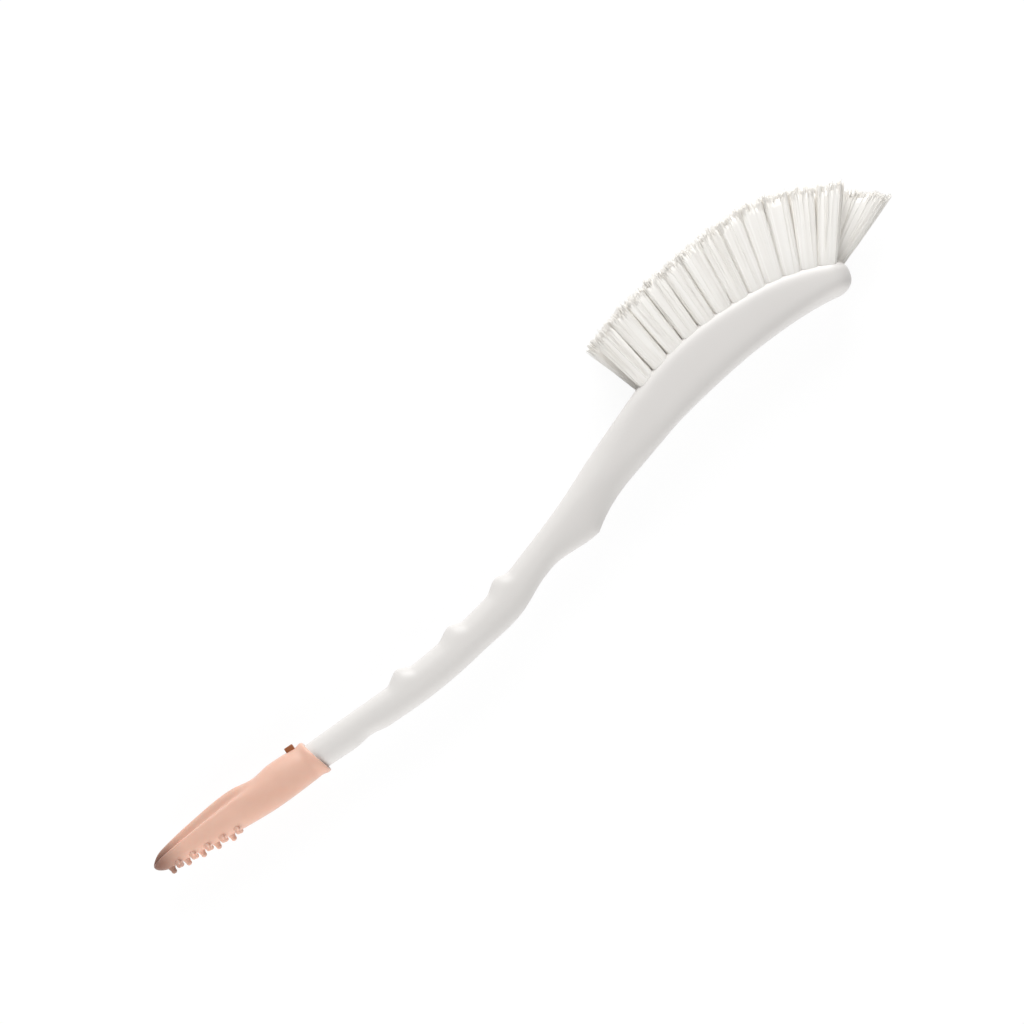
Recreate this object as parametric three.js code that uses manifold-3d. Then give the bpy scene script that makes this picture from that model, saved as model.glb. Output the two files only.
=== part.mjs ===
// A bottle brush: one moulded handle whose head carries three rows of bristle tufts, and a soft
// teat-cleaning tip pushed over the spigot at the other end. Each tuft is folded over a metal anchor
// at the bottom of its own hole. Millimetres, lying on one cheek of the head.
// X runs along the spigot towards the head, Y towards the bristles and Z across the brush.

import * as THREE from "three";
import { mergeVertices } from "three/addons/utils/BufferGeometryUtils.js";
import Module from "manifold-3d";

const { clamp, degToRad, lerp, smoothstep } = THREE.MathUtils;

// Handle centre line, measured along it from the tip's mouth
const SPIGOT_LENGTH = 17;
const REAR_GRIP_LENGTH = 30;
const GRIP_BEND_RADIUS = 163;
const NECK_ANGLE = degToRad(18);
const NECK_LENGTH = 63;
const HEAD_RADIUS = 124;
const HEAD_LENGTH = 75;

// Handle sections: thickness lies in the XY plane and width runs across it
const SPIGOT_END_THICKNESS = 8;
const SPIGOT_CHAMFER = 0.8;
const MOUTH_THICKNESS = 9.1;
const GRIP_THICKNESS = 9.9;
const GRIP_WIDTH = 12;
const WAIST_THICKNESS = 9;
const WAIST_WIDTH = 10.6;
const FLARE_THICKNESS = 13.8;
const SHOULDER_THICKNESS = 15.7;
const HEAD_THICKNESS = 17.4;
const CROWN_THICKNESS = 15.7;
const NOSE_THICKNESS = 10.6;
const NOSE_ROUNDING = 7;
const NOSE_POWER = 2.5;

// Where a section stands, as a share of the neck or of the head
const WAIST_SHARE = 0.2;
const FLARE_SHARE = 0.68;
const THICKEST_SHARE = 0.27;
const CROWN_SHARE = 0.54;

// Where the tip is fullest, as a share of its sleeve, and where its front's sections stand, of its front
const SWELL_SHARE = 0.7;
const FIN_PEAK_SHARE = 0.2;
const FRONT_MIDDLE_SHARE = 0.6;
const FLUTE_START = 0.1;

// Squareness of a section: 2 is an oval, and more is squarer
const ROUND = 2;
const GRIP_SQUARENESS = 2.3;
const HEAD_SQUARENESS = 4.2;
const NOSE_SQUARENESS = 2.7;

// Finger crests on the grip's top, and how far the whole top is raised between and behind them
const CREST_COUNT = 3;
const FIRST_CREST = 34.4;
const CREST_PITCH = 20.9;
const CREST_HEIGHT = 1.75;
const CREST_RISE = 6.5;
const CREST_FALL = 4.5;
const RAISE_HEIGHT = 0.92;
const RAISE_BEFORE = 6;
const RAISE_BEHIND = 10;
const RAISE_FADE = 28;

// Palm swell, thumb heel and small-finger notch on its underside
const PALM_PLACE = 73;
const PALM_DEPTH = 1.15;
const PALM_RISE = 16;
const PALM_FALL = 13;
const HEEL_FROM_BEND = 25.6;
const HEEL_DEPTH = 3.8;
const HEEL_RISE = 18;
const HEEL_FALL = 20;
const HEEL_POWER = 2.2;
const NOTCH_PLACE = 17;
const NOTCH_REACH = 6;
const NOTCH_DEPTH = 0.8;

// Rise of the head's tufted face towards the nose, measured from where the head starts
const BROW_HEIGHT = 1.2;
const BROW_START = 38;
const BROW_FULL = 57;
const BROW_FADE = 64;

// Tufts, their holes and their anchors
const FIRST_TUFT_LENGTH = 19.3;
const LAST_TUFT_LENGTH = 23.4;
const LENGTHEN_START = 0.2;
const LENGTHEN_END = 0.75;
const FIRST_PITCH = 6.2;
const LAST_PITCH = 5.1;
const FIRST_TUFT = 6.6;
const LAST_TUFT_MARGIN = 3;
const TUFT_LEAN = degToRad(3);
const END_FAN = degToRad(23);
const FAN_POWER = 3.1;
const NOSE_FAN = degToRad(18);
const ROW_SKEW = degToRad(3);
const SKEW_POWER = 4;
const ROW_SPLAY = degToRad(1);
const HOLE_RADIUS = 1.65;
const HOLE_DEPTH = 6;
const FOLD_HEIGHT = 0.8;
const ANCHOR_WIDTH = 3.9;
const ANCHOR_HEIGHT = 1.8;
const ANCHOR_THICKNESS = 0.4;
const ANCHOR_GAP = 0.15;

// Slice of backing under each row, the walls beside it and the fit between pieces
const SLICE_RIM = 0.1;
const SLICE_THICKNESS = 1;
const ROW_WALL = 1.1;
const HEAD_RIM = 1.1;
const FIT_GAP = 0.3;

// Strands of a tuft: one in the middle and two rings round it
const INNER_STRANDS = 3;
const OUTER_STRANDS = 5;
const STRAND_RADIUS = 0.26;
const STRAND_SEAT = 2;
const TUFT_SPREAD = 2.5;
const NOSE_SPREAD = 4.5;

// Teat tip: its round sleeve, then the front with a fin, two ridges and the flutes between them
const TIP_WALL = 1.05;
const TIP_SWELL = 0.3;
const SADDLE_DEPTH = 0.6;
const RIM_LENGTH = 1.6;
const RIM_PROUD = 0.15;
const MOUTH_SLANT = Math.tan(degToRad(14));
const TIP_END_WALL = 2.2;
const FRONT_LENGTH = 38.8;
const FIN_HEIGHT = 6.3;
const FIN_MIDDLE_HEIGHT = 5;
const FIN_END_HEIGHT = 3;
const FIN_NOSE_HEIGHT = 1.6;
const RIDGE_REACH = 5.3;
const RIDGE_MIDDLE_REACH = 4.2;
const RIDGE_END_REACH = 2.9;
const BELLY_DEPTH = 5.7;
const BELLY_MIDDLE_DEPTH = 4.1;
const BELLY_END_DEPTH = 2.9;
const FRONT_NOSE_RADIUS = 2.4;
const FRONT_ROUNDING = 4;
const FLUTE_DEPTH = 0.45;
const FLUTE_ANGLE = degToRad(38);
const FLUTE_SPREAD = degToRad(30);

// Nubs under the tip and the peg on top of its sleeve
const NUB_COUNT = 5;
const NUB_PITCH = 5;
const NUB_RADIUS = 0.8;
const NUB_HEIGHT = 1.9;
const NUB_FROM_NOSE = 4.4;
const NUB_SIDE_ANGLE = degToRad(34);
const PEG_LENGTH = 2.7;
const PEG_WIDTH = 3;
const PEG_HEIGHT = 1.4;
const PEG_FROM_MOUTH = 4.1;

// Fineness of the facets
const RING_POINTS = 16;
const RING_STEP = 4.4;
const NOSE_RINGS = 6;
const TIP_STEP = 2.6;
const HOLE_SIDES = 6;
const STRAND_SIDES = 3;
const NUB_SIDES = 6;

const wasm = await Module();
wasm.setup();

// A closed geometry as a solid that can be joined and cut.
function solidOf(geometry) {
  const bare = geometry.clone();
  bare.deleteAttribute("normal");
  bare.deleteAttribute("uv");
  const merged = mergeVertices(bare);
  const vertProperties = new Float32Array(merged.attributes.position.array);
  const triVerts = new Uint32Array(merged.index.array);
  return new wasm.Manifold(new wasm.Mesh({ numProp: 3, vertProperties, triVerts }));
}

// A joined or cut solid as a geometry again.
function geometryOf(solid) {
  const mesh = solid.getMesh();
  const geometry = new THREE.BufferGeometry();
  geometry.setAttribute("position", new THREE.BufferAttribute(mesh.vertProperties, 3));
  geometry.setIndex(new THREE.BufferAttribute(mesh.triVerts, 1));
  geometry.computeVertexNormals();
  return geometry;
}

// A closed skin through rings of equally many points, with a flat cap on the first and the last.
function loft(rings) {
  const count = rings[0].length;
  const last = (rings.length - 1) * count;
  const index = [];
  for (let k = 0; k < count; k++) {
    const next = (k + 1) % count;
    for (let ring = 0; ring < last; ring += count) {
      const above = ring + count;
      index.push(ring + k, ring + next, above + k, ring + next, above + next, above + k);
    }
  }
  for (let k = 1; k + 1 < count; k++) {
    index.push(0, k + 1, k, last, last + k, last + k + 1);
  }
  return new THREE.BufferGeometry().setFromPoints(rings.flat()).setIndex(index);
}

// Evenly spaced places from start to end, no further apart than step.
function places(start, end, step) {
  const count = Math.ceil((end - start) / step);
  return Array.from({ length: count + 1 }, (_, i) => start + ((end - start) * i) / count);
}

// A curve through rows of a place and its values, which gives all the values at any place.
function through(rows) {
  const values = rows.flatMap((row) => row.slice(1));
  return new THREE.CubicInterpolant(rows.map((row) => row[0]), values, rows[0].length - 1);
}

// How much of a section is left at a place inside a rounded end.
function roundedEnd(place, end, rounding, power) {
  const into = Math.max(0, (place - end) / rounding + 1);
  return Math.max(0, 1 - into ** power) ** (1 / power);
}

// The centre line runs straight, bends up to the neck's angle, runs straight and bends down over the head
const BEND_END = REAR_GRIP_LENGTH + GRIP_BEND_RADIUS * NECK_ANGLE;
const HEAD_START = BEND_END + NECK_LENGTH;
const HANDLE_END = HEAD_START + HEAD_LENGTH;

// A point of the centre line, the angle at which it runs there and the direction square to it.
function centreLine(distance) {
  const bend = clamp((distance - REAR_GRIP_LENGTH) / GRIP_BEND_RADIUS, 0, NECK_ANGLE);
  const neck = clamp(distance - BEND_END, 0, NECK_LENGTH);
  const angle = bend - Math.max(0, distance - HEAD_START) / HEAD_RADIUS;
  const head = distance > HEAD_START ? HEAD_RADIUS : 0;
  const at = new THREE.Vector3(
    Math.min(distance, REAR_GRIP_LENGTH) + GRIP_BEND_RADIUS * Math.sin(bend)
      + neck * Math.cos(NECK_ANGLE) + head * (Math.sin(NECK_ANGLE) - Math.sin(angle)),
    GRIP_BEND_RADIUS * (1 - Math.cos(bend))
      + neck * Math.sin(NECK_ANGLE) + head * (Math.cos(angle) - Math.cos(NECK_ANGLE)),
    0,
  );
  return { at, angle, up: new THREE.Vector3(-Math.sin(angle), Math.cos(angle), 0) };
}

// The head is as wide as its rows, the walls between them and the rims outside them
const SLICE_WIDTH = 2 * (HOLE_RADIUS + SLICE_RIM);
const ROW_SPACING = SLICE_WIDTH + 2 * FIT_GAP + ROW_WALL;
const HEAD_WIDTH = 2 * ROW_SPACING + SLICE_WIDTH + 2 * (FIT_GAP + HEAD_RIM);

// Thickness, width and squareness of the handle at places along its centre line
const handleSections = through([
  [-SPIGOT_LENGTH, SPIGOT_END_THICKNESS, SPIGOT_END_THICKNESS, ROUND],
  [0, MOUTH_THICKNESS, MOUTH_THICKNESS, ROUND],
  [REAR_GRIP_LENGTH, GRIP_THICKNESS, GRIP_WIDTH, GRIP_SQUARENESS],
  [(REAR_GRIP_LENGTH + BEND_END) / 2, GRIP_THICKNESS, GRIP_WIDTH, GRIP_SQUARENESS],
  [BEND_END + NECK_LENGTH * WAIST_SHARE, WAIST_THICKNESS, WAIST_WIDTH, GRIP_SQUARENESS],
  [BEND_END + NECK_LENGTH * FLARE_SHARE, FLARE_THICKNESS, (WAIST_WIDTH + HEAD_WIDTH) / 2, GRIP_SQUARENESS],
  [HEAD_START, SHOULDER_THICKNESS, HEAD_WIDTH, HEAD_SQUARENESS],
  [HEAD_START + HEAD_LENGTH * THICKEST_SHARE, HEAD_THICKNESS, HEAD_WIDTH, HEAD_SQUARENESS],
  [HEAD_START + HEAD_LENGTH * CROWN_SHARE, CROWN_THICKNESS, HEAD_WIDTH, HEAD_SQUARENESS],
  [HANDLE_END - NOSE_ROUNDING, NOSE_THICKNESS, HEAD_WIDTH, NOSE_SQUARENESS],
]);

// Where the crests and the heel stand along the centre line
const crestPlaces = Array.from({ length: CREST_COUNT }, (_, i) => FIRST_CREST + i * CREST_PITCH);
const heelPlace = BEND_END + HEEL_FROM_BEND;

// A soft swelling of height 1 that rises up to a place and falls away behind another.
function swelling(distance, start, full, fade, end) {
  return smoothstep(distance, start, full) * (1 - smoothstep(distance, fade, end));
}

// How far the finger crests and the raised top stand above the plain grip.
function crestHeight(distance) {
  const crests = crestPlaces.map((place) =>
    swelling(distance, place - CREST_RISE, place, place, place + CREST_FALL));
  const first = crestPlaces[0];
  const behind = crestPlaces.at(-1) + RAISE_BEHIND;
  const raise = swelling(distance, first - RAISE_BEFORE, first, behind, behind + RAISE_FADE);
  return CREST_HEIGHT * Math.max(...crests) + RAISE_HEIGHT * raise;
}

// How far the head's tufted face rises towards the nose.
function browHeight(distance) {
  const along = distance - HEAD_START;
  return BROW_HEIGHT * swelling(along, BROW_START, BROW_FULL, BROW_FADE, HEAD_LENGTH);
}

// How far the palm swell and the thumb heel stand below the plain handle, less the notch.
function undersideDepth(distance) {
  const palm = swelling(distance, PALM_PLACE - PALM_RISE, PALM_PLACE, PALM_PLACE, PALM_PLACE + PALM_FALL);
  const behind = clamp((distance - heelPlace) / HEEL_FALL, 0, 1);
  const heel = smoothstep(distance, heelPlace - HEEL_RISE, heelPlace) * (1 - behind) ** HEEL_POWER;
  const [before, after] = [NOTCH_PLACE - NOTCH_REACH, NOTCH_PLACE + NOTCH_REACH];
  const notch = swelling(distance, before, NOTCH_PLACE, NOTCH_PLACE, after);
  return PALM_DEPTH * palm + HEEL_DEPTH * heel - NOTCH_DEPTH * notch;
}

// Half sizes of the handle's section at a distance, and its squareness.
function handleHalf(distance) {
  const [thickness, width, squareness] = handleSections.evaluate(distance);
  const left = roundedEnd(distance, HANDLE_END, NOSE_ROUNDING, NOSE_POWER);
  return {
    up: (thickness / 2 + crestHeight(distance) + browHeight(distance)) * left,
    down: (thickness / 2 + undersideDepth(distance)) * left,
    side: (Math.min(width, HEAD_WIDTH) / 2) * left,
    squareness,
  };
}

// The handle's outline at a distance, grown all round, with a flat on its top and on each cheek.
function handleRing(distance, grow = 0) {
  const { at, up } = centreLine(distance);
  const half = handleHalf(distance);
  const power = 2 / half.squareness;
  const flat = Math.cos(Math.PI / RING_POINTS) ** power;
  return Array.from({ length: RING_POINTS }, (_, k) => {
    const angle = ((k + 0.5) * 2 * Math.PI) / RING_POINTS;
    const rise = Math.cos(angle);
    const reach = Math.sin(angle);
    const height = ((rise > 0 ? half.up : half.down) + grow) / flat;
    const width = (half.side + grow) / flat;
    const point = at.clone().addScaledVector(up, Math.sign(rise) * height * Math.abs(rise) ** power);
    return point.setZ(Math.sign(reach) * width * Math.abs(reach) ** power);
  });
}

// A point of the head's tufted face, at a distance along it and a place across it.
function facePoint(distance, across) {
  const { at, up } = centreLine(distance);
  const half = handleHalf(distance);
  const share = Math.min(1, Math.abs(across) / half.side) ** half.squareness;
  return at.clone().addScaledVector(up, half.up * (1 - share) ** (1 / half.squareness)).setZ(across);
}

// Rows of tufts: the middle row stands half a pitch nearer the nose, and ends in the tuft at the nose
const ROWS = { right: -1, middle: 0, left: 1 };
const MEAN_PITCH = (FIRST_PITCH + LAST_PITCH) / 2;
const tuftCount = Math.floor((HEAD_LENGTH - FIRST_TUFT - LAST_TUFT_MARGIN) / MEAN_PITCH + 0.5);
const noseStep = tuftCount - 0.5;

// The steps at which a row's tufts stand, and how far along the centre line a step is.
function rowSteps(row) {
  const first = row === 0 ? 0.5 : 0;
  return Array.from({ length: tuftCount }, (_, i) => first + i);
}
function tuftDistance(step) {
  const drawnIn = ((FIRST_PITCH - LAST_PITCH) * step) / (2 * noseStep);
  return HEAD_START + FIRST_TUFT + step * (FIRST_PITCH - drawnIn);
}

// How far a tuft leans towards the nose: more along the head, and most at the nose itself.
function tuftLean(row, step) {
  const share = step / noseStep;
  const skew = row * ROW_SKEW * (1 - share) ** SKEW_POWER;
  const nose = step === noseStep ? NOSE_FAN : 0;
  return TUFT_LEAN + END_FAN * share ** FAN_POWER + skew + nose;
}

// The tufts of a row: their frames, in which Y runs out along the tuft, their lengths and their spreads.
function rowTufts(row) {
  return rowSteps(row).map((step) => {
    const distance = tuftDistance(step);
    const turn = centreLine(distance).angle - tuftLean(row, step);
    const frame = new THREE.Matrix4().makeRotationZ(turn);
    frame.multiply(new THREE.Matrix4().makeRotationX(row * ROW_SPLAY));
    frame.setPosition(facePoint(distance, row * ROW_SPACING));
    const lengthened = smoothstep(step / noseStep, LENGTHEN_START, LENGTHEN_END);
    const length = lerp(FIRST_TUFT_LENGTH, LAST_TUFT_LENGTH, lengthened);
    return { frame, length, spread: step === noseStep ? NOSE_SPREAD : TUFT_SPREAD };
  });
}

// A rod of a few sides that runs up a tuft's frame between two points.
function rod(from, to, radius, sides) {
  return loft([from, to].map((middle) => Array.from({ length: sides }, (_, k) => {
    const angle = (k * 2 * Math.PI) / sides;
    return new THREE.Vector3(radius * Math.sin(angle), 0, radius * Math.cos(angle)).add(middle);
  })));
}

// A tuft's anchor, grown all round, and the height of its middle in the tuft's frame
const anchorMiddle = FOLD_HEIGHT + ANCHOR_HEIGHT / 2 - HOLE_DEPTH;
function anchorBox(grow = 0) {
  const sizes = [ANCHOR_WIDTH, ANCHOR_HEIGHT, ANCHOR_THICKNESS].map((size) => size + 2 * grow);
  return new THREE.BoxGeometry(...sizes);
}

// The space round an anchor, which its hole's wall and the folded tuft leave free.
function anchorSeat() {
  return anchorBox(ANCHOR_GAP).translate(0, anchorMiddle, 0);
}

// The strands of one tuft, in its frame: they start inside the root and spread towards their ends.
function strands(length, spread) {
  const rootSpread = (HOLE_RADIUS - ANCHOR_GAP) * Math.cos(Math.PI / HOLE_SIDES) - STRAND_RADIUS;
  const rings = [[1, 0], [INNER_STRANDS, 0.5], [OUTER_STRANDS, 1]];
  return rings.flatMap(([count, share]) => Array.from({ length: count }, (_, i) => {
    const angle = ((i + share) * 2 * Math.PI) / count;
    const outward = new THREE.Vector3(Math.cos(angle), 0, Math.sin(angle)).multiplyScalar(share);
    const root = outward.clone().multiplyScalar(rootSpread).setY(-STRAND_SEAT);
    const end = new THREE.Vector3(outward.x * spread, length, outward.z * TUFT_SPREAD);
    return rod(root, end, STRAND_RADIUS, STRAND_SIDES);
  }));
}

// The slice of backing under a row; grown and raised, it is the groove that the slice lies in.
function slice(row, grow = 0, raise = 0) {
  const reach = SLICE_WIDTH / 2 + grow;
  const distances = rowSteps(row).map(tuftDistance);
  const ends = [distances[0] - reach, distances.at(-1) + reach];
  return loft([ends[0], ...distances, ends[1]].map((distance) => {
    const frame = new THREE.Matrix4().makeRotationZ(centreLine(distance).angle);
    frame.multiply(new THREE.Matrix4().makeRotationX(row * ROW_SPLAY));
    frame.setPosition(facePoint(distance, row * ROW_SPACING));
    const bottom = -SLICE_THICKNESS - grow;
    const corners = [[raise, reach], [bottom, reach], [bottom, -reach], [raise, -reach]];
    return corners.map(([height, across]) => new THREE.Vector3(0, height, across).applyMatrix4(frame));
  }));
}

// What the head is cut by for a row: the slice's groove, the tufts' holes and the anchors' seats.
function rowCutters(row) {
  const hole = rod(new THREE.Vector3(0, -HOLE_DEPTH, 0), new THREE.Vector3(), HOLE_RADIUS, HOLE_SIDES);
  const cutters = rowTufts(row).flatMap(({ frame }) => [
    solidOf(hole.clone().applyMatrix4(frame)),
    solidOf(anchorSeat().applyMatrix4(frame)),
  ]);
  return [solidOf(slice(row, FIT_GAP, HEAD_RIM)), ...cutters];
}

// The handle, neck and head as one moulding with its tuft holes.
function makeHandle() {
  const crestStops = crestPlaces.flatMap((place) => [place - CREST_RISE, place, place + CREST_FALL]);
  const stops = [SPIGOT_CHAMFER - SPIGOT_LENGTH, 0, ...crestStops, heelPlace, HANDLE_END - NOSE_ROUNDING];
  const plain = stops.slice(1).flatMap((stop, i) => places(stops[i], stop, RING_STEP).slice(0, -1));
  const nose = Array.from({ length: NOSE_RINGS }, (_, i) => {
    const turn = (i * Math.PI) / (2 * NOSE_RINGS - 1);
    return HANDLE_END - NOSE_ROUNDING * (1 - Math.sin(turn));
  });
  const rings = [...plain, ...nose].map((distance) => handleRing(distance));
  const body = solidOf(loft([handleRing(-SPIGOT_LENGTH, -SPIGOT_CHAMFER), ...rings]));
  return geometryOf(body.subtract(wasm.Manifold.union(Object.values(ROWS).flatMap(rowCutters))));
}

// A row of tufts, whose folded roots stand in their holes round the anchors and share one slice.
function makeRow(row) {
  const foot = new THREE.Vector3(0, ANCHOR_GAP - HOLE_DEPTH, 0);
  const top = new THREE.Vector3(0, -SLICE_THICKNESS / 2, 0);
  const root = rod(foot, top, HOLE_RADIUS - ANCHOR_GAP, HOLE_SIDES);
  const tufts = rowTufts(row);
  const nylon = tufts.flatMap(({ frame, length, spread }) =>
    [root.clone(), ...strands(length, spread)].map((geometry) => solidOf(geometry.applyMatrix4(frame))));
  const seats = tufts.map(({ frame }) => solidOf(anchorSeat().applyMatrix4(frame)));
  const whole = wasm.Manifold.union([solidOf(slice(row)), ...nylon]);
  return geometryOf(whole.subtract(wasm.Manifold.union(seats)));
}

// Teat tip: height above and depth below the axis, reach to the side and depth of the flutes
const MOUTH_RADIUS = MOUTH_THICKNESS / 2 + FIT_GAP + TIP_WALL;
const WAIST_RADIUS = MOUTH_RADIUS - RIM_PROUD;
const FRONT_START = SPIGOT_LENGTH + FIT_GAP + TIP_END_WALL;
const TIP_LENGTH = FRONT_START + FRONT_LENGTH;
const tipSections = through([
  [0, MOUTH_RADIUS, MOUTH_RADIUS, MOUTH_RADIUS, 0],
  [RIM_LENGTH, MOUTH_RADIUS, MOUTH_RADIUS, MOUTH_RADIUS, 0],
  [2 * RIM_LENGTH, WAIST_RADIUS, WAIST_RADIUS, WAIST_RADIUS, 0],
  [FRONT_START * SWELL_SHARE, MOUTH_RADIUS + TIP_SWELL / 2, MOUTH_RADIUS + TIP_SWELL, MOUTH_RADIUS, 0],
  [FRONT_START, MOUTH_RADIUS - SADDLE_DEPTH, MOUTH_RADIUS + TIP_SWELL, MOUTH_RADIUS, FLUTE_START],
  [FRONT_START + FRONT_LENGTH * FIN_PEAK_SHARE, FIN_HEIGHT, BELLY_DEPTH, RIDGE_REACH, 1],
  [FRONT_START + FRONT_LENGTH * FRONT_MIDDLE_SHARE,
    FIN_MIDDLE_HEIGHT, BELLY_MIDDLE_DEPTH, RIDGE_MIDDLE_REACH, 1],
  [TIP_LENGTH - FRONT_ROUNDING, FIN_END_HEIGHT, BELLY_END_DEPTH, RIDGE_END_REACH, 1],
  [TIP_LENGTH, FIN_NOSE_HEIGHT, FRONT_NOSE_RADIUS, FRONT_NOSE_RADIUS, 0],
]);

// Angles round the tip from the fin at the top, closest where the flutes are
const HALF_ANGLES = [0, 9, 20, 32, 44, 56, 68, 82, 98, 116, 136, 158].map(degToRad);
const TIP_ANGLES = [...HALF_ANGLES, Math.PI, ...HALF_ANGLES.slice(1).reverse().map((angle) => -angle)];

// A point of the tip's skin, at a distance from its slanted mouth and an angle round it.
function tipPoint(distance, angle) {
  const [fin, belly, reach, fluted] = tipSections.evaluate(distance);
  const left = roundedEnd(distance, TIP_LENGTH, FRONT_ROUNDING, 2);
  const off = clamp((Math.abs(angle) - FLUTE_ANGLE) / FLUTE_SPREAD, -1, 1);
  const flute = FLUTE_DEPTH * fluted * Math.cos((off * Math.PI) / 2) ** 2;
  const size = left * (1 - flute);
  const rise = Math.cos(angle);
  const height = rise * (rise > 0 ? fin : belly);
  const slant = MOUTH_SLANT * Math.max(0, 1 - distance / (FRONT_START * SWELL_SHARE));
  const along = -distance - slant * size * height;
  return new THREE.Vector3(along, size * height, -size * reach * Math.sin(angle));
}

// One soft nub with a rounded end, standing on the tip's skin at a distance and an angle.
function nub(distance, angle) {
  const shoulder = NUB_HEIGHT - NUB_RADIUS;
  const profile = new THREE.Path().moveTo(0, -NUB_RADIUS).lineTo(NUB_RADIUS, -NUB_RADIUS);
  profile.lineTo(NUB_RADIUS, shoulder).absarc(0, shoulder, NUB_RADIUS, 0, Math.PI / 2);
  const geometry = new THREE.LatheGeometry(profile.getPoints(1), NUB_SIDES);
  return geometry.rotateX(-angle).translate(...tipPoint(distance, angle));
}

// The soft tip with its nubs and peg, hollow where the spigot stands.
function makeTip() {
  const end = TIP_LENGTH - FRONT_ROUNDING;
  const round = Array.from({ length: NOSE_RINGS }, (_, i) => {
    const turn = (i * Math.PI) / (2 * NOSE_RINGS - 1);
    return end + FRONT_ROUNDING * Math.sin(turn);
  });
  const distances = [...places(0, end, TIP_STEP).slice(0, -1), ...round];
  const skin = loft(distances.map((distance) => TIP_ANGLES.map((angle) => tipPoint(distance, angle))));
  const nubs = Array.from({ length: NUB_COUNT }, (_, i) => {
    const distance = TIP_LENGTH - NUB_FROM_NOSE - i * NUB_PITCH;
    const beside = Math.PI - NUB_SIDE_ANGLE;
    const half = distance - NUB_PITCH / 2;
    return [nub(distance, Math.PI), nub(half, beside), nub(half, -beside)];
  });
  const sunk = TIP_WALL / 2;
  const peg = new THREE.BoxGeometry(PEG_LENGTH, PEG_HEIGHT + sunk, PEG_WIDTH);
  const pegMiddle = PEG_FROM_MOUTH + PEG_LENGTH / 2;
  peg.translate(-pegMiddle, tipPoint(pegMiddle, 0).y + (PEG_HEIGHT - sunk) / 2, 0);
  const bore = places(-SPIGOT_LENGTH - FIT_GAP, MOUTH_RADIUS * MOUTH_SLANT + FIT_GAP, RING_STEP);
  const hollow = loft(bore.map((distance) => handleRing(distance, FIT_GAP)));
  const whole = wasm.Manifold.union([skin, peg, ...nubs.flat()].map(solidOf));
  return geometryOf(whole.subtract(solidOf(hollow)));
}

const polypropylene = new THREE.MeshStandardMaterial({ color: "#e3e0dd", roughness: 0.42 });
const elastomer = new THREE.MeshStandardMaterial({ color: "#ddb09a", roughness: 0.6 });
const nylon = new THREE.MeshStandardMaterial({ color: "#f1eee9", roughness: 0.5 });
const brass = new THREE.MeshStandardMaterial({ color: "#c9a95c", roughness: 0.35, metalness: 1 });

// A named piece.
function piece(name, geometry, material) {
  const mesh = new THREE.Mesh(geometry, material);
  mesh.name = name;
  return mesh;
}

const brush = new THREE.Group();
brush.add(piece("handle", makeHandle(), polypropylene));
brush.add(piece("teat_tip", makeTip(), elastomer));
for (const [side, row] of Object.entries(ROWS)) {
  brush.add(piece(`bristle_row_${side}`, makeRow(row), nylon));
  rowTufts(row).forEach(({ frame }, i) => {
    const tuft = new THREE.Group();
    tuft.applyMatrix4(frame);
    const anchor = piece(`anchor_${side}_${String(i + 1).padStart(2, "0")}`, anchorBox(), brass);
    anchor.position.y = anchorMiddle;
    tuft.add(anchor);
    brush.add(tuft);
  });
}

// The origin is under the middle of the brush, on what it lies on
const box = new THREE.Box3().setFromObject(brush, true);
const middle = box.getCenter(new THREE.Vector3());
brush.position.set(-middle.x, -middle.y, -box.min.z);

const part = new THREE.Group();
part.add(brush);

export default part;
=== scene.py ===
"""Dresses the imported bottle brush: a smooth moulded handle with its tuft holes, tufts of nylon filament,
a soft finned tip, brass anchors and a white studio. Metres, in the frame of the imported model."""

import math
import random

import bmesh
import bpy
import numpy as np
from bpy.props import FloatProperty, FloatVectorProperty, IntProperty, PointerProperty
from mathutils import Matrix, Vector


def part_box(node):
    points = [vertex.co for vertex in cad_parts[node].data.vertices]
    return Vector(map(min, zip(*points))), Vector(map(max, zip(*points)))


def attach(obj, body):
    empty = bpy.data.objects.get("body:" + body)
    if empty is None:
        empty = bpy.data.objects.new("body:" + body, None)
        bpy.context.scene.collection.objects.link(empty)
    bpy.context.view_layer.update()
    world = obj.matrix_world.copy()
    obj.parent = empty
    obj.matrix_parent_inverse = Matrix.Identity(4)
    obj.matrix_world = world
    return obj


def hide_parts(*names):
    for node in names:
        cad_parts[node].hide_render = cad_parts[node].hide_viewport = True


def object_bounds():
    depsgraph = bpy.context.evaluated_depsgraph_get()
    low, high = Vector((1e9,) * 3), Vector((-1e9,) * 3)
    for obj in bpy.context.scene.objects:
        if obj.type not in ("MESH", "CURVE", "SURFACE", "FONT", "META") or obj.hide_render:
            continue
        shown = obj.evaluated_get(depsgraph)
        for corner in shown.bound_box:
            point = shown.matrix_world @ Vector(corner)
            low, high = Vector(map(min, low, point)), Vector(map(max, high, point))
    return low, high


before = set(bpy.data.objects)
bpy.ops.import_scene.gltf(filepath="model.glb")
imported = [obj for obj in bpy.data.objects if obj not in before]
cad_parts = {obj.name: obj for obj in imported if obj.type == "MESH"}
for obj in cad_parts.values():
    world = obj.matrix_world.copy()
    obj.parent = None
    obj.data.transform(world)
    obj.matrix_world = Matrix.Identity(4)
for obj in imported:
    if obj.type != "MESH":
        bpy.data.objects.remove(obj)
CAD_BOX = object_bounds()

bl_info = {
    "name": "Bottle Brush",
    "version": (1, 0, 0),
    "blender": (4, 5, 0),
    "location": "3D View > Sidebar > Bottle Brush",
    "description": "Models the handle, tufts and soft tip of a bottle brush round its packed solids",
    "category": "Object",
}

MM = 0.001

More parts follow.
